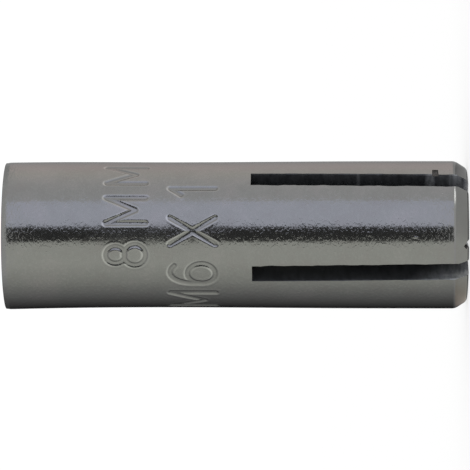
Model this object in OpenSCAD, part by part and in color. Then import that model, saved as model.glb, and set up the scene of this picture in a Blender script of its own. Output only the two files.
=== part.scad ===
// Drop-in anchor: an internally threaded steel sleeve with a slotted, tapered nose,
// and the loose wedge plug that spreads the nose when it is driven home.
// The anchor stands on its nose. The axis is Z, the nose's flat end is at z = 0.

/* [Sleeve] */
// Length of the sleeve, from nose to mouth
sleeve_length = 25; // [24:0.5:40]
// Outside diameter of the sleeve
sleeve_d = 8; // [7.4:0.1:10]
// Height of the rolled-over outer edge at the mouth
mouth_edge_h = 0.22; // [0.05:0.01:0.5]
// How far the mouth edge rolls in
mouth_edge_in = 0.05; // [0.02:0.01:0.15]

/* [Nose] */
// Height of the nose chamfer
nose_chamfer_h = 0.66; // [0.5:0.01:1.2]
// Angle of the nose chamfer, from the axis
nose_chamfer_angle = 32.5; // [20:0.5:45]
// Radius between the chamfer and the nose's flat end
nose_corner_r = 0.38; // [0.1:0.01:0.5]
// Width of the nick across the end of one leaf
nick_w = 0.5; // [0.2:0.05:0.8]
// Depth of that nick
nick_depth = 0.18; // [0.05:0.01:0.4]
// Direction of that nick around the axis
nick_angle = -98.3; // [-105:0.1:-60]

/* [Thread] */
// Nominal diameter of the thread
thread_d = 6; // [5.5:0.1:6.5]
// Pitch of the thread
thread_pitch = 1; // [0.75:0.05:1.25]
// Depth of the tapped bore, from the mouth
thread_depth = 11; // [8:0.5:12]
// How far the countersink opens past the thread
countersink_margin = 0.1; // [0.05:0.05:0.3]

/* [Expansion bore] */
// Bore below the thread, which holds the plug
plug_bore_d = 4.6; // [4.4:0.05:4.7]
// Bore at the nose
nose_bore_d = 3; // [2.4:0.1:3.4]
// Length of the tapered bore, from the nose
taper_length = 11; // [9:0.5:12]
// Point angle of the tapping drill, at the thread's foot
drill_point_angle = 118; // [90:2:140]

/* [Slots] */
// Width of each saw cut
slot_w = 0.9; // [0.6:0.05:1.4]
// Length of the slots on the outside, from the nose
slot_length = 11.6; // [8:0.1:12.5]
// Diameter of the saw that cuts them
saw_d = 30; // [28:1:80]
// Direction of the first cut around the axis
first_cut_angle = -42.9; // [-50:0.1:-30]
// Angle between the two cuts at the nose
cut_spacing = 76.7; // [70:0.1:110]
// How far the first cut leans out of line with the axis
first_cut_lean = -0.8; // [-2:0.1:2]
// How far the second cut leans out of line with the axis
second_cut_lean = 0.9; // [-2:0.1:2]

/* [Plug] */
// Length of the plug
plug_length = 7.5; // [5:0.5:9]
// Diameter of the plug's leading end
plug_tip_d = 3.9; // [3.7:0.05:4.1]
// Bevel on the plug's two ends
plug_edge = 0.2; // [0.05:0.05:0.4]
// Clearance around the plug's wide end
plug_clearance = 0.05; // [0.02:0.01:0.15]
// Clearance left where the plug wedges in the taper
wedge_fit = 0.02; // [0.01:0.01:0.05]

/* [Hidden] */
$fn = 96;

ZINC_GREY = [0.53, 0.53, 0.52];
PLUG_GREY = [0.45, 0.45, 0.46];

// How far a cutting shape runs past the face it cuts
overrun = 1;

// Outside of the sleeve
sleeve_r = sleeve_d / 2;
nose_sharp_r = sleeve_r - nose_chamfer_h * tan(nose_chamfer_angle);
nose_turn = 90 - nose_chamfer_angle;
nose_flat_r = nose_sharp_r - nose_corner_r * tan(nose_turn / 2);
corner_steps = 6;
nose_corner = [
    for (step = [0 : corner_steps])
        let (turn = nose_turn * step / corner_steps)
            [nose_flat_r + nose_corner_r * sin(turn), nose_corner_r * (1 - cos(turn))]
];

// Bore of the sleeve
thread_bore_r = (thread_d - thread_pitch) / 2;
countersink_h = thread_d / 2 + countersink_margin - thread_bore_r;
thread_foot_z = sleeve_length - thread_depth;
plug_bore_r = plug_bore_d / 2;
nose_bore_r = nose_bore_d / 2;
taper_slope = (plug_bore_r - nose_bore_r) / taper_length;
drill_point_h = (thread_bore_r - plug_bore_r) / tan(drill_point_angle / 2);

// Saw cuts, whose ends follow the rim of the saw
saw_r = saw_d / 2;
saw_z = slot_length - sqrt(pow(saw_r, 2) - pow(sleeve_r, 2));

// Plug, whose leading edge meets the taper one clearance away
plug_r = plug_bore_r - plug_clearance;
plug_tip_r = plug_tip_d / 2;
plug_z = (plug_tip_r + wedge_fit - nose_bore_r) / taper_slope - plug_edge;

// Half outline of the sleeve as a solid bar, with its chamfered nose and rolled mouth edge
module bar_profile() {
    polygon(concat(
        [[0, 0]],
        nose_corner,
        [
            [sleeve_r, nose_chamfer_h],
            [sleeve_r, sleeve_length - mouth_edge_h],
            [sleeve_r - mouth_edge_in, sleeve_length],
            [0, sleeve_length]
        ]
    ));
}

// Half outline of the bore: taper, plug chamber, tapped bore and countersink
module bore_profile() {
    polygon([
        [0, -overrun],
        [nose_bore_r - taper_slope * overrun, -overrun],
        [plug_bore_r, taper_length],
        [plug_bore_r, thread_foot_z - drill_point_h],
        [thread_bore_r, thread_foot_z],
        [thread_bore_r, sleeve_length - countersink_h],
        [thread_bore_r + countersink_h + overrun, sleeve_length + overrun],
        [0, sleeve_length + overrun]
    ]);
}

// One pass of the saw, right across the nose
module saw_cut(direction, lean) {
    rotate([lean, 0, direction])
        translate([0, 0, saw_z])
            rotate([90, 0, 0])
                cylinder(r = saw_r, h = slot_w, center = true);
}

// V-shaped nick across the end of one leaf, from the bore out past the rim
module leaf_nick() {
    rotate([0, 0, nick_angle])
        rotate([90, 0, 90])
            linear_extrude(height = sleeve_r + overrun)
                polygon([
                    [-nick_w, -nick_depth],
                    [nick_w, -nick_depth],
                    [0, nick_depth]
                ]);
}

module sleeve() {
    color(ZINC_GREY)
        difference() {
            rotate_extrude()
                difference() {
                    bar_profile();
                    bore_profile();
                }
            saw_cut(first_cut_angle, first_cut_lean);
            saw_cut(first_cut_angle - cut_spacing, second_cut_lean);
            leaf_nick();
        }
}

module expander_plug() {
    color(PLUG_GREY)
        translate([0, 0, plug_z])
            rotate_extrude()
                polygon([
                    [0, 0],
                    [plug_tip_r - plug_edge, 0],
                    [plug_tip_r, plug_edge],
                    [plug_r, plug_length - plug_edge],
                    [plug_r - plug_edge, plug_length],
                    [0, plug_length]
                ]);
}

sleeve();
expander_plug();
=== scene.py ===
import math

import bmesh
import bpy
import numpy as np
from mathutils import Matrix, Vector, noise


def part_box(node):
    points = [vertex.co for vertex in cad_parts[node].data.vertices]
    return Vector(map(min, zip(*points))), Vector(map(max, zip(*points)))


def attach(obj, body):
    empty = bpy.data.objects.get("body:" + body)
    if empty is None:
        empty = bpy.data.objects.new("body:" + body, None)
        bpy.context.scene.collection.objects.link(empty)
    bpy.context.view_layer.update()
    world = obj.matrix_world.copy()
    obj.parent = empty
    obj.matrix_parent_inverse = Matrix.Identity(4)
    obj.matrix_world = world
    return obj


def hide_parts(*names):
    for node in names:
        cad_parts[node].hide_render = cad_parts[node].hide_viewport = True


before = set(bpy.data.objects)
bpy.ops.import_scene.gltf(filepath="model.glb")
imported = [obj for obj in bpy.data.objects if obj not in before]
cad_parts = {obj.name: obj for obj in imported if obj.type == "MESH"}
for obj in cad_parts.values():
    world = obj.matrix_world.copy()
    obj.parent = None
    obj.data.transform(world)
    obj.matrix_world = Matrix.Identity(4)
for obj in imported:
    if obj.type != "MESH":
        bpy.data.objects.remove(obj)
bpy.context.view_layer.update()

# Sizes in millimetres, as the solids have them; MM brings them to the frame's metres.
MM = 0.001

SLEEVE_LENGTH = 25.0
SLEEVE_R = 4.0
NOSE_CHAMFER_H = 0.66
NOSE_CHAMFER_ANGLE = math.radians(32.5)
NOSE_CORNER_R = 0.38
SHOULDER_R = 0.6
MOUTH_EDGE_H = 0.22
MOUTH_EDGE_IN = 0.05
MOUTH_LIP_R = 0.03

THREAD_BORE_R = 2.5
THREAD_ROOT_R = 3.0
THREAD_PITCH = 1.0
THREAD_FOOT_Z = 14.0
COUNTERSINK_R = 3.1
PLUG_BORE_R = 2.3
DRILL_POINT_H = 0.12
TAPER_LENGTH = 11.0
NOSE_BORE_R = 1.5
NOSE_BORE_EDGE = 0.08

SLOT_W = 0.9
SAW_R = 15.0
SAW_BELOW = 0.8
SAW_PAST = 0.6
SLOT_EDGE = 0.028
SLOT_RAGGED = 2.0
# Direction and lean of each saw cut in degrees, and its length on the outside
SAW_CUTS = ((-42.9, -0.8, 11.68), (-119.6, 0.9, 11.6))

NICK_W = 0.5
NICK_DEPTH = 0.18
NICK_DIRECTION = -98.3
NICK_LEAN = 0.07
NICK_REACH = 4.5
# A bite out of the first slot's edge, and a torn spot beside the nick: direction, height, size
CHIP_DIRECTION = -33.5
CHIP_Z = 1.78
CHIP_WIDE = 0.6
CHIP_HIGH = 0.36
CHIP_DEPTH = 0.13
CHIP_TAPER = (0.6, 1.0, 0.85)
TEAR_DIRECTION = -99.4
TEAR_R = 3.72
TEAR_Z = 0.13
TEAR_SIZE = 0.44

# Smeared spots on the plating: middle and half sizes
SCUFFS = (
    ((-0.13, -4.0, 2.9), (0.07, 0.3, 0.22)),
    ((0.03, -4.0, 5.33), (0.14, 0.3, 0.28)),
)
# Painted highlights on a slot's walls: number of the cut, height, half height, brightness
SLOT_HIGHLIGHTS = (
    (0, 0.05, 0.26, 0.6),
    (0, 0.6, 0.5, 0.2),
    (0, 1.0, 0.08, 0.2),
    (0, 2.05, 0.32, 0.5),
    (0, 5.9, 0.13, 0.22),
    (1, 0.0, 3.2, 0.42),
)
SLOT_HIGHLIGHT_R = 3.6
SLOT_HIGHLIGHT_WIDE = 1.6
# Painted glint on the nose's shoulder: height and half height, angle from -Y towards +X and half
# angle
SHOULDER_GLINT_Z = 0.745
SHOULDER_GLINT_HIGH = 0.04
SHOULDER_GLINT_AT = 31.0
SHOULDER_GLINT_WIDE = 7.0

# The stamped marks face the camera side, -Y. Their angles are taken from -Y towards +X.
STAMP_LOW_Z = 13.2
STAMP_HIGH_Z = 19.8
STAMP_FROM = -85.0
STAMP_TO = 80.0
STAMP_STROKE = 0.12
STAMP_WALL = 0.12
STAMP_DEPTH = 0.06
STAMP_RIM = 0.008
STAMP_RIM_WIDE = 0.06
# widths of the painted highlight on the marks' rims and of the painted shade at their feet
STAMP_HIGHLIGHT_WIDE = 0.045
STAMP_SHADE_WIDE = 0.035
# Spacing of the mesh's rows, on the stamped wall and on the plain wall, and its steps round the axis
STAMP_ROW = 0.056
WALL_ROW = 1.2
FRONT_STEPS = 330
BACK_STEPS = 78
# The stamping squeezed the outside a little: depth, middle and half length along the axis
SQUEEZE_DEPTH = 0.058
SQUEEZE_Z = 16.0
SQUEEZE_LONG = 6.8
# nothing moves inside the first radius, and all of the wall does outside the second
SQUEEZE_FROM_R = 2.9
SQUEEZE_FULL_R = 3.7
# and pushed the mouth's outer edge aside, towards -X, from this height up
ASIDE = 0.065
ASIDE_FROM_Z = 19.0

PLUG_TIP_R = 1.95
PLUG_BEVEL = 0.2
PLUG_SOFT = 0.08
PLUG_STEPS = 128

# Cards: distance from the axis, and where the wall, the ring above it and the top end
CARD_R = 12.0
CARD_TOP_Z = 25.8
CARD_RING_Z = 29.5
CARD_HIGH_Z = 60.0
# Floor: gap below the nose, half size in metres, and how much of it is its own light
FLOOR_GAP = 0.01
FLOOR_HALF_M = 6.0
FLOOR_GLOW = 0.7


def link(name, bm):
    """A finished bmesh as an object at the origin."""
    mesh = bpy.data.meshes.new(name)
    bm.to_mesh(mesh)
    bm.free()
    piece = bpy.data.objects.new(name, mesh)
    bpy.context.scene.collection.objects.link(piece)
    return piece


def outline(bm, points, closed=True):
    """A chain of edges through (radius, height) points, in the XZ plane."""
    verts = [bm.verts.new((r * MM, 0.0, z * MM)) for r, z in points]
    pairs = list(zip(verts, verts[1:]))
    if closed:
        pairs.append((verts[-1], verts[0]))
    return verts, [bm.edges.new(pair) for pair in pairs]


def arc(centre, radius, start, end, steps):
    """Points on an arc, the angles in radians from the outward direction."""
    turns = [start + (end - start) * i / steps for i in range(steps + 1)]
    return [
        (centre[0] + radius * math.cos(t), centre[1] + radius * math.sin(t))
        for t in turns
    ]


def close_up(bm):
    bmesh.ops.remove_doubles(bm, verts=bm.verts, dist=1e-7)
    bmesh.ops.recalc_face_normals(bm, faces=bm.faces)


def about_axis(degrees):
    return Matrix.Rotation(math.radians(degrees), 3, "Z")


def rotate(bm, matrix):
    bmesh.ops.rotate(bm, verts=bm.verts, cent=(0, 0, 0), matrix=matrix)


def spin(bm, geom, angle, steps, **more):
    """Sweeps an outline round the axis."""
    return bmesh.ops.spin(
        bm, geom=geom, cent=(0, 0, 0), axis=(0, 0, 1), angle=angle, steps=steps, **more
    )


def cut(piece, cutter, finish):
    """Cuts one closed shape out of another, leaves a finish on the cut, and drops the cutter."""
    cutter.data.materials.append(finish)
    step = piece.modifiers.new("cut", "BOOLEAN")
    step.operation = "DIFFERENCE"
    step.solver = "MANIFOLD"
    step.material_mode = "TRANSFER"
    step.object = cutter
    bpy.context.view_layer.update()
    evaluated = piece.evaluated_get(bpy.context.evaluated_depsgraph_get())
    mesh = bpy.data.meshes.new_from_object(evaluated)
    piece.modifiers.clear()
    old = piece.data
    piece.data = mesh
    mesh.name = piece.name
    bpy.data.meshes.remove(old)
    spent = cutter.data
    bpy.data.objects.remove(cutter)
    bpy.data.meshes.remove(spent)


# Finishes


def grey(level):
    return (level, level, level)


class Finish:
    """A material's node tree, with short ways to add and join nodes."""

    def __init__(self, name):
        self.material = bpy.data.materials.new(name)
        self.material.use_nodes = True
        self.nodes = self.material.node_tree.nodes
        self.shader = self.nodes["Principled BSDF"]
        self.place = self.nodes.new("ShaderNodeTexCoord").outputs["Object"]

    def join(self, source, target):
        self.material.node_tree.links.new(source, target)

    def grain(self, scale, detail=2.0, rough=0.5, stretch=(1, 1, 1)):
        mapping = self.nodes.new("ShaderNodeMapping")
        mapping.inputs["Scale"].default_value = stretch
        self.join(self.place, mapping.inputs["Vector"])
        node = self.nodes.new("ShaderNodeTexNoise")
        node.inputs["Scale"].default_value = scale
        node.inputs["Detail"].default_value = detail
        node.inputs["Roughness"].default_value = rough
        self.join(mapping.outputs["Vector"], node.inputs["Vector"])
        return node.outputs["Fac"]

    def ramp(self, source, stops):
        node = self.nodes.new("ShaderNodeValToRGB")
        marks = node.color_ramp.elements
        while len(marks) < len(stops):
            marks.new(0.5)
        for mark, (at, colour) in zip(marks, stops):
            mark.position = at
            mark.color = (*colour, 1.0)
        self.join(source, node.inputs["Fac"])
        return node.outputs["Color"]

    def span(self, source, low, high, from_low=0.3, from_high=0.7):
        node = self.nodes.new("ShaderNodeMapRange")
        node.inputs["From Min"].default_value = from_low
        node.inputs["From Max"].default_value = from_high
        node.inputs["To Min"].default_value = low
        node.inputs["To Max"].default_value = high
        self.join(source, node.inputs["Value"])
        return node.outputs["Result"]

    def height(self):
        node = self.nodes.new("ShaderNodeSeparateXYZ")
        self.join(self.place, node.inputs["Vector"])
        return node.outputs["Z"]

    def attribute(self, name):
        node = self.nodes.new("ShaderNodeAttribute")
        node.attribute_name = name
        return node.outputs["Fac"]

    def spot(self, centre, size):
        """1 in the middle of an oval spot, fading to 0 at its rim; both in millimetres."""
        mapping = self.nodes.new("ShaderNodeMapping")
        mapping.vector_type = "TEXTURE"
        mapping.inputs["Location"].default_value = Vector(centre) * MM
        mapping.inputs["Scale"].default_value = Vector(size) * MM
        self.join(self.place, mapping.inputs["Vector"])
        node = self.nodes.new("ShaderNodeTexGradient")
        node.gradient_type = "SPHERICAL"
        self.join(mapping.outputs["Vector"], node.inputs["Vector"])
        return node.outputs["Fac"]

    def math(self, operation, first, second):
        node = self.nodes.new("ShaderNodeMath")
        node.operation = operation
        self.join(first, node.inputs[0])
        self.join(second, node.inputs[1])
        return node.outputs["Value"]

    def times(self, first, second):
        return self.math("MULTIPLY", first, second)

    def bump(self, layers):
        """Stacks (height, depth in metres, strength) layers onto the shader's normal."""
        last = None
        for height, depth, strength in layers:
            node = self.nodes.new("ShaderNodeBump")
            node.inputs["Distance"].default_value = depth
            node.inputs["Strength"].default_value = strength
            self.join(height, node.inputs["Height"])
            if last is not None:
                self.join(last, node.inputs["Normal"])
            last = node.outputs["Normal"]
        self.join(last, self.shader.inputs["Normal"])


def zinc_finish():
    finish = Finish("zinc_plating")
    finish.shader.inputs["Metallic"].default_value = 1.0
    cloud = finish.grain(420, 6, 0.72)
    tint = finish.ramp(
        cloud,
        [
            (0.3, (0.236, 0.23, 0.225)),
            (0.5, (0.246, 0.25, 0.242)),
            (0.7, (0.27, 0.265, 0.261)),
        ],
    )
    speck = finish.span(finish.grain(6200, 2, 0.6, (0.85, 0.85, 1.2)), 0, 1, 0.5, 0.62)
    strewn = finish.times(speck, finish.span(finish.grain(900, 2, 0.5), 0.6, 1))
    near_nose = finish.span(finish.height(), 0.15, 1, 0.8 * MM, 1.5 * MM)
    specks = finish.times(strewn, near_nose)
    # the base colour carries painted light: highlights and shade on the marks, a glint on the
    # shoulder, and the specks a touch paler
    painted_light_and_wear = finish.math("ADD", finish.attribute("painted_light_and_wear"), finish.span(specks, 0, 0.06, 0, 1))
    painted_light_and_wear = finish.span(painted_light_and_wear, 0, 1, -1, 1)
    light_gain = finish.ramp(painted_light_and_wear, [(0.0, grey(0.5)), (0.5, grey(1.0)), (1.0, grey(2.0))])
    shade = finish.nodes.new("ShaderNodeVectorMath")
    shade.operation = "MULTIPLY"
    finish.join(tint, shade.inputs[0])
    finish.join(light_gain, shade.inputs[1])
    finish.join(shade.outputs["Vector"], finish.shader.inputs["Base Color"])
    patch = finish.grain(1600, 3, 0.6)
    # the plating is duller where the stamps pressed on it
    pressed = finish.times(
        finish.span(finish.height(), 0, 0.075, 12.6 * MM, 14.2 * MM),
        finish.span(finish.height(), 1, 0, 19.0 * MM, 20.6 * MM),
    )
    dull = finish.math("ADD", finish.span(patch, 0.1, 0.15), pressed)
    finish.join(dull, finish.shader.inputs["Roughness"])
    fine = finish.grain(22000, 1, 0.5)
    ding = finish.span(finish.grain(2600, 1, 0.5, (1, 1, 0.5)), 0, 1, 0.68, 0.82)
    layers = [(fine, 2e-6, 0.2), (ding, 8e-6, 0.5), (specks, 4.2e-6, 1.0)]
    for centre, size in SCUFFS:
        layers.append((finish.spot(centre, size), 9e-6, 1.0))
    finish.bump(layers)
    return finish.material


def sawn_shaded_finish():
    """Bare saw marks, painted dark as shade deep in the slot and paler towards the open nose end as
    painted light.
    """
    finish = Finish("sawn_steel_painted_light")
    finish.shader.inputs["Metallic"].default_value = 0.4
    finish.shader.inputs["Specular IOR Level"].default_value = 0.3
    # painted light: paler towards the open nose end, plus painted highlights on the walls
    painted_light_level = finish.span(finish.height(), 0.28, 0.08, 0.0, 2.2 * MM)
    for number, height, tall, bright in SLOT_HIGHLIGHTS:
        around = math.radians(SAW_CUTS[number][0])
        centre = (SLOT_HIGHLIGHT_R * math.cos(around), SLOT_HIGHLIGHT_R * math.sin(around), height)
        spot = finish.spot(centre, (SLOT_HIGHLIGHT_WIDE, SLOT_HIGHLIGHT_WIDE, tall))
        painted_light_level = finish.math("ADD", painted_light_level, finish.span(spot, 0, bright, 0, 0.8))
    mark = finish.grain(3800, 4, 0.65, (0.3, 0.3, 1))
    tint = finish.ramp(
        finish.times(painted_light_level, finish.span(mark, 0.5, 1.5)),
        [
            (0.0, (0.012, 0.014, 0.017)),
            (0.5, (0.25, 0.262, 0.28)),
            (1.0, (0.61, 0.615, 0.61)),
        ],
    )
    finish.join(tint, finish.shader.inputs["Base Color"])
    finish.join(finish.span(mark, 0.35, 0.5), finish.shader.inputs["Roughness"])
    finish.bump([(mark, 8e-6, 0.6)])
    return finish.material


def torn_shaded_finish():
    """Dull, rough metal where the edge was chipped, painted dark partly as shade."""
    finish = Finish("torn_steel_shaded")
    crumb = finish.grain(7000, 3, 0.6)
    # dark tint: partly the torn metal's own, partly painted shade
    tint = finish.ramp(crumb, [(0.35, (0.035, 0.033, 0.031)), (0.65, (0.085, 0.08, 0.074))])
    finish.join(tint, finish.shader.inputs["Base Color"])
    finish.shader.inputs["Specular IOR Level"].default_value = 0.3
    finish.join(finish.span(crumb, 0.5, 0.7), finish.shader.inputs["Roughness"])
    finish.bump([(crumb, 1e-5, 0.6)])
    return finish.material


def plug_finish():
    finish = Finish("turned_steel")
    finish.shader.inputs["Metallic"].default_value = 1.0
    ring = finish.grain(900, 3, 0.6, (1, 1, 6))
    tint = finish.ramp(ring, [(0.3, (0.19, 0.19, 0.188)), (0.7, (0.24, 0.238, 0.232))])
    finish.join(tint, finish.shader.inputs["Base Color"])
    finish.join(finish.span(ring, 0.26, 0.4), finish.shader.inputs["Roughness"])
    finish.bump([(ring, 3e-6, 0.5)])
    return finish.material


# Sleeve


def sleeve_outline():
    """Half section of the sleeve wall, from the nose's inner edge round the outside to the bore."""
    turn = math.pi / 2 - NOSE_CHAMFER_ANGLE
    sharp_r = SLEEVE_R - NOSE_CHAMFER_H * math.tan(NOSE_CHAMFER_ANGLE)
    flat_r = sharp_r - NOSE_CORNER_R * math.tan(turn / 2)
    corner = arc(
        (flat_r, NOSE_CORNER_R), NOSE_CORNER_R, -math.pi / 2, -NOSE_CHAMFER_ANGLE, 8
    )
    shoulder_z = NOSE_CHAMFER_H + SHOULDER_R * math.tan(NOSE_CHAMFER_ANGLE / 2)
    shoulder = arc(
        (SLEEVE_R - SHOULDER_R, shoulder_z), SHOULDER_R, -NOSE_CHAMFER_ANGLE, 0.0, 6
    )
    roll = math.atan2(MOUTH_EDGE_IN, MOUTH_EDGE_H)
    roll_r = MOUTH_EDGE_H / roll
    roll_foot_z = SLEEVE_LENGTH - MOUTH_EDGE_H * 1.4
    rolled = arc((SLEEVE_R - roll_r, roll_foot_z), roll_r, 0.0, roll, 5)
    lip = arc(
        (rolled[-1][0] - MOUTH_LIP_R, SLEEVE_LENGTH - MOUTH_LIP_R),
        MOUTH_LIP_R,
        roll,
        math.pi / 2,
        4,
    )
    countersink_z = SLEEVE_LENGTH - (COUNTERSINK_R - THREAD_BORE_R)
    taper = (PLUG_BORE_R - NOSE_BORE_R) / TAPER_LENGTH
    return (
        corner
        + shoulder
        + [(SLEEVE_R, STAMP_LOW_Z), (SLEEVE_R, STAMP_HIGH_Z)]
        + rolled
        + lip
        + [
            (COUNTERSINK_R + 0.03, SLEEVE_LENGTH),
            (COUNTERSINK_R - 0.02, SLEEVE_LENGTH - 0.02),
            (THREAD_BORE_R, countersink_z),
            (THREAD_BORE_R, THREAD_FOOT_Z),
            (PLUG_BORE_R, THREAD_FOOT_Z - DRILL_POINT_H),
            (PLUG_BORE_R, TAPER_LENGTH),
            (NOSE_BORE_R + taper * NOSE_BORE_EDGE, NOSE_BORE_EDGE),
            (NOSE_BORE_R + NOSE_BORE_EDGE, 0.0),
        ]
    )


def sleeve_body():
    bm = bmesh.new()
    _, edges = outline(bm, sleeve_outline())
    for edge in edges:
        low, high = sorted(v.co.z / MM for v in edge.verts)
        outside = all(v.co.x > (SLEEVE_R - 0.001) * MM for v in edge.verts)
        if outside and high - low > 1:
            fine = low > STAMP_LOW_Z - 0.1 and high < STAMP_HIGH_Z + 0.1
            cuts = int((high - low) / (STAMP_ROW if fine else WALL_ROW))
            bmesh.ops.subdivide_edges(bm, edges=[edge], cuts=cuts)
    rotate(bm, about_axis(STAMP_FROM - 90))
    front = math.radians(STAMP_TO - STAMP_FROM)
    made = spin(bm, bm.verts[:] + bm.edges[:], front, FRONT_STEPS)
    spin(bm, made["geom_last"], 2 * math.pi - front, BACK_STEPS)
    close_up(bm)
    return link("sleeve_body", bm)


def thread_cutter():
    """The helix that the tap cuts, from above the mouth down to the thread's foot."""
    slope = math.tan(math.radians(30))
    root_half = THREAD_PITCH / 16
    root_soft, overlap = 0.04, 0.1
    inner_r = THREAD_BORE_R - overlap
    inner_half = root_half + (THREAD_ROOT_R - inner_r) * slope
    steps_per_turn = 72
    turns = 11
    low_z = THREAD_FOOT_Z + inner_half
    bm = bmesh.new()
    verts, edges = outline(
        bm,
        [
            (inner_r, low_z - inner_half),
            (THREAD_ROOT_R - root_soft, low_z - root_half - root_soft * slope),
            (THREAD_ROOT_R, low_z - root_half * 0.5),
            (THREAD_ROOT_R, low_z + root_half * 0.5),
            (THREAD_ROOT_R - root_soft, low_z + root_half + root_soft * slope),
            (inner_r, low_z + inner_half),
        ],
    )
    rise = (0, 0, THREAD_PITCH * MM / steps_per_turn)
    spin(bm, verts + edges, 2 * math.pi * turns, steps_per_turn * turns, dvec=rise)
    bmesh.ops.holes_fill(bm, edges=bm.edges, sides=0)
    # the tap's lead cuts less and less towards the foot
    lead_top, lead_long, lead_shrink = low_z + 1.2, 1.7, 0.22
    for vert in bm.verts:
        fade = (lead_top - vert.co.z / MM) / lead_long
        if fade > 0:
            shrink = 1 - lead_shrink * min(fade, 1.0) ** 2
            vert.co.x *= shrink
            vert.co.y *= shrink
    bmesh.ops.recalc_face_normals(bm, faces=bm.faces)
    return link("thread_cutter", bm)


def saw_cutter(direction, lean, length, seed):
    """The saw's path across the nose, flared where it leaves the wall so that the slot's edges
    are broken."""
    across, up = 72, 110
    reach = SLEEVE_R + SAW_PAST
    edge_u = math.sqrt(SLEEVE_R**2 - (SLOT_W / 2) ** 2)
    saw_z = length - math.sqrt(SAW_R**2 - SLEEVE_R**2)
    bm = bmesh.new()
    bmesh.ops.create_grid(bm, x_segments=across, y_segments=up, size=1.0)
    for vert in bm.verts:
        # more stations towards the two ends, where the flare is
        share = vert.co.x
        u = reach * math.copysign(1 - (1 - abs(share)) ** 1.6, share)
        top = saw_z + math.sqrt(SAW_R**2 - u**2)
        height = -SAW_BELOW + (top + SAW_BELOW) * (vert.co.y + 1) / 2
        vert.co = (u * MM, 0.0, height * MM)
    made = bmesh.ops.extrude_face_region(bm, geom=bm.faces[:])
    lifted = {item for item in made["geom"] if isinstance(item, bmesh.types.BMVert)}
    for vert in bm.verts:
        u, height = abs(vert.co.x) / MM, vert.co.z / MM
        side = 1 if vert in lifted else -1
        place = Vector((height * 1.1, math.copysign(3.0, vert.co.x), side * 5.0 + seed))
        ragged = noise.noise(place) + 0.6 * noise.noise(place * 3.3)
        past = max(0.0, u - (edge_u - SLOT_EDGE)) / SLOT_EDGE
        flare = SLOT_EDGE * (0.5 * past**2 + SLOT_RAGGED * ragged * min(past, 1.0))
        vert.co.y = side * (SLOT_W / 2 + flare) * MM
    tilt = Matrix.Rotation(math.radians(lean), 3, "X")
    rotate(bm, about_axis(direction) @ tilt)
    bmesh.ops.recalc_face_normals(bm, faces=bm.faces)
    return link("saw_cutter", bm)


def nick_cutter():
    """A V across the end of the front leaf."""
    bm = bmesh.new()
    corners = [(-NICK_W, -NICK_DEPTH), (NICK_W, -NICK_DEPTH), (NICK_LEAN, NICK_DEPTH)]
    verts = [bm.verts.new((0.0, x * MM, z * MM)) for x, z in corners]
    face = bm.faces.new(verts)
    made = bmesh.ops.extrude_face_region(bm, geom=[face])
    far = [item for item in made["geom"] if isinstance(item, bmesh.types.BMVert)]
    bmesh.ops.translate(bm, verts=far, vec=(NICK_REACH * MM, 0, 0))
    bmesh.ops.holes_fill(bm, edges=bm.edges, sides=0)
    rotate(bm, about_axis(NICK_DIRECTION))
    bmesh.ops.recalc_face_normals(bm, faces=bm.faces)
    return link("nick_cutter", bm)


def chip_cutter():
    """A bite out of the upper edge of the first slot."""
    bm = bmesh.new()
    bmesh.ops.create_cube(bm, size=1.0)
    size = Vector((2 * CHIP_DEPTH, CHIP_WIDE, CHIP_HIGH)) * MM
    bmesh.ops.scale(bm, verts=bm.verts, vec=size)
    far_side = [vert for vert in bm.verts if vert.co.y > 0]
    bmesh.ops.scale(bm, verts=far_side, vec=CHIP_TAPER)
    bmesh.ops.translate(bm, verts=bm.verts, vec=Vector((SLEEVE_R, 0.0, CHIP_Z)) * MM)
    rotate(bm, about_axis(CHIP_DIRECTION))
    return link("chip_cutter", bm)


def tear_cutter():
    """A small torn hollow in the chamfer beside the nick, square to the rounded corner."""
    bm = bmesh.new()
    bmesh.ops.create_cone(
        bm,
        cap_ends=True,
        segments=4,
        radius1=TEAR_SIZE * MM,
        radius2=0.0,
        depth=TEAR_SIZE * MM,
    )
    rotate(bm, Matrix.Rotation(NOSE_CHAMFER_ANGLE - math.pi / 2, 3, "Y"))
    bmesh.ops.translate(bm, verts=bm.verts, vec=Vector((TEAR_R, 0.0, TEAR_Z)) * MM)
    rotate(bm, about_axis(TEAR_DIRECTION))
    bmesh.ops.recalc_face_normals(bm, faces=bm.faces)
    return link("tear_cutter", bm)


# Stamped marks: each glyph is a set of strokes in a cell one wide and one high.


def bow(cx, cy, rx, ry, start, end, steps=20):
    """Points on an oval, the angles in degrees."""
    turns = [math.radians(start + (end - start) * i / steps) for i in range(steps + 1)]
    return [(cx + rx * math.cos(t), cy + ry * math.sin(t)) for t in turns]


GLYPHS = {
    "1": [[(0.22, 0.76), (0.55, 1.0), (0.55, 0.0)]],
    "6": [bow(0.5, 0.31, 0.43, 0.31, 0, 360, 28), bow(0.56, 0.5, 0.49, 0.5, 55, 196)],
    "8": [bow(0.5, 0.76, 0.35, 0.24, 0, 360, 24), bow(0.5, 0.27, 0.43, 0.27, 0, 360, 28)],
    "M": [[(0.04, 0.0), (0.04, 1.0), (0.5, 0.25), (0.96, 1.0), (0.96, 0.0)]],
    "X": [[(0.05, 0.0), (0.95, 1.0)], [(0.05, 1.0), (0.95, 0.0)]],
}

# Each mark: glyph, angle of its middle, foot height, cell width, cell height
STAMPS = [
    ("8", -16.0, 17.28, 1.35, 2.12),
    ("M", 19.5, 17.28, 1.6, 2.12),
    ("M", 55.0, 17.28, 1.6, 2.12),
    ("M", -63.0, 13.56, 1.7, 2.41),
    ("6", -32.0, 13.56, 1.45, 2.41),
    ("X", 3.0, 13.56, 1.6, 2.41),
    ("1", 38.0, 13.56, 1.3, 2.41),
]


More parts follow.
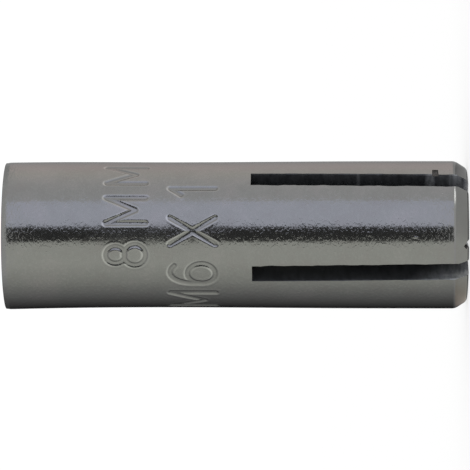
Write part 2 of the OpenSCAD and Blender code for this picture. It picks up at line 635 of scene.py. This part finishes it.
def places_of(piece):
    """Every vertex of a piece, in millimetres."""
    flat = np.zeros(len(piece.data.vertices) * 3, np.float32)
    piece.data.vertices.foreach_get("co", flat)
    return flat.reshape(-1, 3).astype(float) / MM


def move_to(piece, places):
    piece.data.vertices.foreach_set("co", (places * MM).astype(np.float32).ravel())
    piece.data.update()


def stroke_field(piece):
    """Every vertex in millimetres, which of them lie on the stamped wall, how far those are from
    the nearest stroke, and how much they lie on its mouth side (1) or its nose side (-1)."""
    places = places_of(piece)
    wall = (
        (np.hypot(places[:, 0], places[:, 1]) > SLEEVE_R - 2 * STAMP_DEPTH)
        & (places[:, 2] > STAMP_LOW_Z - 0.3)
        & (places[:, 2] < STAMP_HIGH_Z + 0.3)
    )
    around = np.arctan2(places[wall, 0], -places[wall, 1]) * SLEEVE_R
    height = places[wall, 2]
    nearest = np.full(len(height), 9.0)
    mouthward = np.zeros(len(height))
    for glyph, middle, foot, wide, tall in STAMPS:
        left = math.radians(middle) * SLEEVE_R - wide / 2
        for stroke in GLYPHS[glyph]:
            line = [(left + x * wide, foot + y * tall) for x, y in stroke]
            for (ax, ay), (bx, by) in zip(line, line[1:]):
                dx, dy = bx - ax, by - ay
                along = ((around - ax) * dx + (height - ay) * dy) / (dx * dx + dy * dy)
                along = np.clip(along, 0, 1)
                above = height - ay - along * dy
                away = np.hypot(around - ax - along * dx, above)
                closer = away < nearest
                nearest = np.where(closer, away, nearest)
                mouthward = np.where(closer, above / np.maximum(away, 1e-6), mouthward)
    return places, wall, nearest, mouthward


def ridge(distance, middle, width):
    return np.exp(-(((distance - middle) / width) ** 2))


def stamp(piece):
    """Presses the marks into the outside wall, and lifts a small rim round each."""
    places, wall, nearest, _ = stroke_field(piece)
    share = np.clip((STAMP_STROKE + STAMP_WALL / 2 - nearest) / STAMP_WALL, 0, 1)
    sunk = STAMP_DEPTH * share * share * (3 - 2 * share)
    raised = STAMP_RIM * ridge(nearest, STAMP_STROKE + STAMP_WALL, STAMP_RIM_WIDE)
    places[wall, :2] *= (1 + (raised - sunk) / SLEEVE_R)[:, None]
    move_to(piece, places)


def shade_stamps(piece):
    """Keeps, for the finish, a painted highlight (1) on the marks' rims, strongest on the walls that
    face the nose, and painted shade (-1) at the grooves' feet. The shoulder has one painted glint
    too."""
    places, wall, nearest, mouthward = stroke_field(piece)
    painted_light_and_wear = np.zeros(len(places), np.float32)
    rim = ridge(nearest, STAMP_STROKE + STAMP_WALL * 0.5, STAMP_HIGHLIGHT_WIDE)
    foot = ridge(nearest, STAMP_STROKE - STAMP_WALL * 0.2, STAMP_SHADE_WIDE)
    to_mouth, to_nose = np.maximum(mouthward, 0), np.maximum(-mouthward, 0)
    # painted light: rims lighter where they face the nose, groove feet darker as painted shade
    painted_light_and_wear[wall] = rim * (0.15 + 0.75 * to_mouth) - foot * (0.3 + 0.4 * to_nose)
    around = np.degrees(np.arctan2(places[:, 0], -places[:, 1]))
    outside = np.hypot(places[:, 0], places[:, 1]) > SLEEVE_R - 0.1
    # a painted glint on the shoulder, where a lamp's reflection falls
    shoulder = ridge(places[:, 2], SHOULDER_GLINT_Z, SHOULDER_GLINT_HIGH)
    painted_light_and_wear += outside * shoulder * ridge(around, SHOULDER_GLINT_AT, SHOULDER_GLINT_WIDE)
    layer = piece.data.attributes.new("painted_light_and_wear", "FLOAT", "POINT")
    layer.data.foreach_set("value", painted_light_and_wear)


def squeeze(piece):
    """Draws the outside in round the marks; the bore keeps its place."""
    places = places_of(piece)
    radius = np.maximum(np.hypot(places[:, 0], places[:, 1]), 1e-6)
    share = np.clip((radius - SQUEEZE_FROM_R) / (SQUEEZE_FULL_R - SQUEEZE_FROM_R), 0, 1)
    inward = SQUEEZE_DEPTH * ridge(places[:, 2], SQUEEZE_Z, SQUEEZE_LONG)
    up = np.clip((places[:, 2] - ASIDE_FROM_Z) / (SLEEVE_LENGTH - ASIDE_FROM_Z), 0, 1)
    places[:, :2] *= (1 - share * inward / radius)[:, None]
    places[:, 0] -= share * ASIDE * up**2
    move_to(piece, places)


def finish_faces(piece, crease_deg):
    """Smooth faces with sharp edges kept."""
    bm = bmesh.new()
    bm.from_mesh(piece.data)
    limit = math.radians(crease_deg)
    for face in bm.faces:
        face.smooth = True
    for edge in bm.edges:
        edge.smooth = edge.calc_face_angle(0.0) < limit
    bm.to_mesh(piece.data)
    bm.free()


zinc, sawn_shaded, torn = zinc_finish(), sawn_shaded_finish(), torn_shaded_finish()
sleeve = sleeve_body()
sleeve.data.materials.append(zinc)
cut(sleeve, thread_cutter(), zinc)
stamp(sleeve)
for number, (direction, lean, length) in enumerate(SAW_CUTS):
    cut(sleeve, saw_cutter(direction, lean, length, 11.0 * number), sawn_shaded)
cut(sleeve, nick_cutter(), sawn_shaded)
cut(sleeve, tear_cutter(), torn)
cut(sleeve, chip_cutter(), torn)
finish_faces(sleeve, crease_deg=32)
shade_stamps(sleeve)
squeeze(sleeve)
sleeve.name = "sleeve_zinc"
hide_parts("sleeve")
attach(sleeve, "root")


# Expander plug


def plug_piece():
    low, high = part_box("expander_plug")
    foot, head = low.z / MM, high.z / MM
    wide_r = high.x / MM
    bm = bmesh.new()
    verts, edges = outline(
        bm,
        [
            (0.0, foot),
            (PLUG_TIP_R - PLUG_BEVEL, foot),
            (PLUG_TIP_R, foot + PLUG_BEVEL),
            (wide_r, head - PLUG_BEVEL),
            (wide_r - PLUG_BEVEL, head),
            (0.0, head),
        ],
        closed=False,
    )
    spin(bm, verts + edges, 2 * math.pi, PLUG_STEPS, use_merge=True)
    close_up(bm)
    rims = [
        edge
        for edge in bm.edges
        if len(edge.link_faces) == 2 and edge.calc_face_angle(0.0) > math.radians(20)
    ]
    bmesh.ops.bevel(
        bm,
        geom=rims,
        offset=PLUG_SOFT * MM,
        offset_type="OFFSET",
        affect="EDGES",
        segments=3,
        profile=0.5,
        material=-1,
    )
    bmesh.ops.recalc_face_normals(bm, faces=bm.faces)
    return link("plug_steel", bm)


plug = plug_piece()
plug.data.materials.append(plug_finish())
finish_faces(plug, crease_deg=40)
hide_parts("expander_plug")
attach(plug, "root")


# Stage: pale floor, white surround, and the cards that the bright metal mirrors


def card(name, from_deg, to_deg, stops, near=(CARD_R, 0.02), far=(CARD_R, CARD_TOP_Z)):
    """A curved light card round the object, its angles from the camera side, -Y, towards +X.
    The stops give its brightness and colour at some of those angles, and the two ends are
    (radius, height) points."""
    bm = bmesh.new()
    verts, edges = outline(bm, [near, far], closed=False)
    rotate(bm, about_axis(from_deg - 90))
    wide = to_deg - from_deg
    spin(bm, verts + edges, math.radians(wide), max(4, int(wide / 3)))
    piece = link(name, bm)
    finish = Finish(name)
    finish.nodes.remove(finish.shader)
    glow = finish.nodes.new("ShaderNodeEmission")
    if len(stops) == 1:
        glow.inputs["Color"].default_value = (*stops[0][1], 1.0)
    else:
        # turned so that the ramp starts at the back of the object
        mapping = finish.nodes.new("ShaderNodeMapping")
        mapping.inputs["Rotation"].default_value = (0, 0, math.radians(90))
        finish.join(finish.place, mapping.inputs["Vector"])
        sweep = finish.nodes.new("ShaderNodeTexGradient")
        sweep.gradient_type = "RADIAL"
        finish.join(mapping.outputs["Vector"], sweep.inputs["Vector"])
        marks = [((at + 180) / 360, colour) for at, colour in stops]
        shade = finish.ramp(sweep.outputs["Fac"], marks)
        finish.join(shade, glow.inputs["Color"])
    end = finish.nodes["Material Output"]
    finish.join(glow.outputs["Emission"], end.inputs["Surface"])
    piece.data.materials.append(finish.material)
    piece.visible_camera = False
    piece.visible_shadow = False
    piece.visible_diffuse = False
    piece.visible_transmission = False


LOW_SWEEP = [
    (-178, grey(0.85)),
    (-160, grey(0.74)),
    (-148, grey(0.02)),
    (-138, grey(0.015)),
    (-122, grey(0.09)),
    (-110.6, grey(0.16)),
    (-93.3, grey(0.323)),
    (-79, (0.47, 0.472, 0.455)),
    (-68.5, (0.61, 0.614, 0.58)),
    (-58, (0.71, 0.716, 0.67)),
    (-48.7, (0.78, 0.788, 0.735)),
    (-38, (0.89, 0.895, 0.835)),
    (-9, (0.89, 0.9, 0.84)),
]
HIGH_SWEEP = [
    (45, (0.85, 0.85, 0.88)),
    (63, (0.845, 0.84, 0.86)),
    (81.7, (0.93, 0.9, 0.9)),
    (96, (0.97, 0.925, 0.88)),
    (113.4, (0.9, 0.8, 0.785)),
    (125.5, (0.7, 0.63, 0.62)),
    (141, grey(0.38)),
    (150, grey(0.36)),
    (160, grey(0.76)),
    (178, grey(0.85)),
]
FOOT_SWEEP = [
    (-178, grey(0.62)),
    (-160, grey(0.55)),
    (-148, grey(0.05)),
    (-130, grey(0.06)),
    (-95, (0.38, 0.33, 0.3)),
    (-72, (0.56, 0.51, 0.45)),
    (-60, (0.58, 0.54, 0.48)),
    (-42, (0.7, 0.69, 0.65)),
    (-25, (0.84, 0.845, 0.8)),
    (-9, (0.84, 0.845, 0.8)),
    (2, (0.68, 0.68, 0.66)),
    (45, grey(0.66)),
    (65, grey(0.5)),
    (85, grey(0.34)),
    (150, grey(0.24)),
    (160, grey(0.56)),
    (178, grey(0.62)),
]
MOUTH_SWEEP = [
    (-178, grey(0.85)),
    (-160, grey(0.74)),
    (-148, grey(0.06)),
    (-130, grey(0.08)),
    (-105, grey(0.22)),
    (-80, grey(0.45)),
    (-50, grey(0.82)),
    (75, grey(0.82)),
    (120, grey(0.5)),
    (150, grey(0.36)),
    (160, grey(0.76)),
    (178, grey(0.85)),
]
OUTER_SWEEP = [
    (-178, grey(0.78)),
    (-160, grey(0.68)),
    (-148, grey(0.03)),
    (-138, grey(0.04)),
    (-122, grey(0.1)),
    (-110, grey(0.18)),
    (-93, grey(0.34)),
    (-79, grey(0.48)),
    (-58, grey(0.7)),
    (-38, grey(0.86)),
    (30, grey(0.9)),
    (90, grey(0.66)),
    (120, grey(0.46)),
    (150, grey(0.36)),
    (160, grey(0.7)),
    (178, grey(0.78)),
]
LAMP_SWEEP = [
    (34, grey(0.9)),
    (39, grey(2.1)),
    (45, grey(2.6)),
    (56, grey(2.2)),
    (62, grey(0.8)),
]
card("softbox", 10.6, 45.8, [(0, (1.0, 1.03, 1.21))])
card("camera_shade", -8.9, 10.6, [(0, grey(0.07))])
card("low_sweep", -180.0, -8.9, LOW_SWEEP)
card("high_sweep", 45.8, 180.0, HIGH_SWEEP)
card("mouth_ring", -180.0, 180.0, MOUTH_SWEEP, (CARD_R, CARD_TOP_Z), (CARD_R, CARD_RING_Z))
card("top_shade", -180.0, 180.0, [(0, grey(0.7))], (CARD_R, CARD_RING_Z), (CARD_R, CARD_HIGH_Z))
card("foot_shade", -180.0, 180.0, [(0, grey(0.2))], (3.2, 0.02), (3.6, 0.02))
card("foot_ring", -180.0, 180.0, FOOT_SWEEP, (3.6, 0.03), (5.9, 0.03))
card("outer_ring", -180.0, 180.0, OUTER_SWEEP, (5.9, 0.03), (CARD_R, 0.03))
card("low_lamp", 34.0, 62.0, LAMP_SWEEP, (6.0, 0.04), (7.8, 0.04))

floor_mesh = bmesh.new()
bmesh.ops.create_grid(floor_mesh, x_segments=1, y_segments=1, size=FLOOR_HALF_M)
# a hair below the nose, so that the two faces don't share a plane
bmesh.ops.translate(floor_mesh, verts=floor_mesh.verts, vec=(0.0, 0.0, -FLOOR_GAP * MM))
floor = link("floor", floor_mesh)


def floor_finish():
    """Pale floor that is white to the eye and to the metal, and keeps part of the object's shadow."""
    finish = Finish("pale_floor")
    finish.shader.inputs["Base Color"].default_value = (0.96, 0.96, 0.96, 1.0)
    finish.shader.inputs["Roughness"].default_value = 1.0
    finish.shader.inputs["Specular IOR Level"].default_value = 0.0
    seen = finish.nodes.new("ShaderNodeLightPath")
    either = seen.outputs["Is Camera Ray"]
    for ray in ("Is Glossy Ray", "Is Transmission Ray"):
        either = finish.math("MAXIMUM", either, seen.outputs[ray])
    share = finish.span(either, 0, FLOOR_GLOW, 0, 1)
    white = finish.nodes.new("ShaderNodeEmission")
    blend = finish.nodes.new("ShaderNodeMixShader")
    finish.join(share, blend.inputs["Fac"])
    finish.join(finish.shader.outputs["BSDF"], blend.inputs[1])
    finish.join(white.outputs["Emission"], blend.inputs[2])
    end = finish.nodes["Material Output"]
    finish.join(blend.outputs["Shader"], end.inputs["Surface"])
    return finish.material


floor.data.materials.append(floor_finish())

scene = bpy.context.scene
world = bpy.data.worlds.new("white_surround")
scene.world = world
world.use_nodes = True
surround = world.node_tree.nodes["Background"]
surround.inputs["Color"].default_value = (1.0, 1.0, 1.0, 1.0)
surround.inputs["Strength"].default_value = 1.05
scene.view_settings.view_transform = "Standard"

# Camera: level with the sleeve and turned on its side, so that the sleeve lies across the picture.
camera_data = bpy.data.cameras.new("camera")
camera = bpy.data.objects.new("camera", camera_data)
scene.collection.objects.link(camera)
scene.camera = camera
camera_data.sensor_width = 36.0
camera_data.lens = 296.1
camera_data.clip_start = 0.01
camera_data.clip_end = 100.0
camera_yaw = math.radians(1.2)
camera_distance = 210.0
aim = Vector((-0.01, 0.0, 12.58)) * MM
away = Vector((0.0, -math.cos(camera_yaw), -math.sin(camera_yaw)))
camera.location = aim + away * camera_distance * MM
forward = (aim - camera.location).normalized()
side = forward.cross(Vector((1.0, 0.0, 0.0))).normalized()
upward = side.cross(forward).normalized()
camera.rotation_euler = Matrix((side, upward, -forward)).transposed().to_euler()
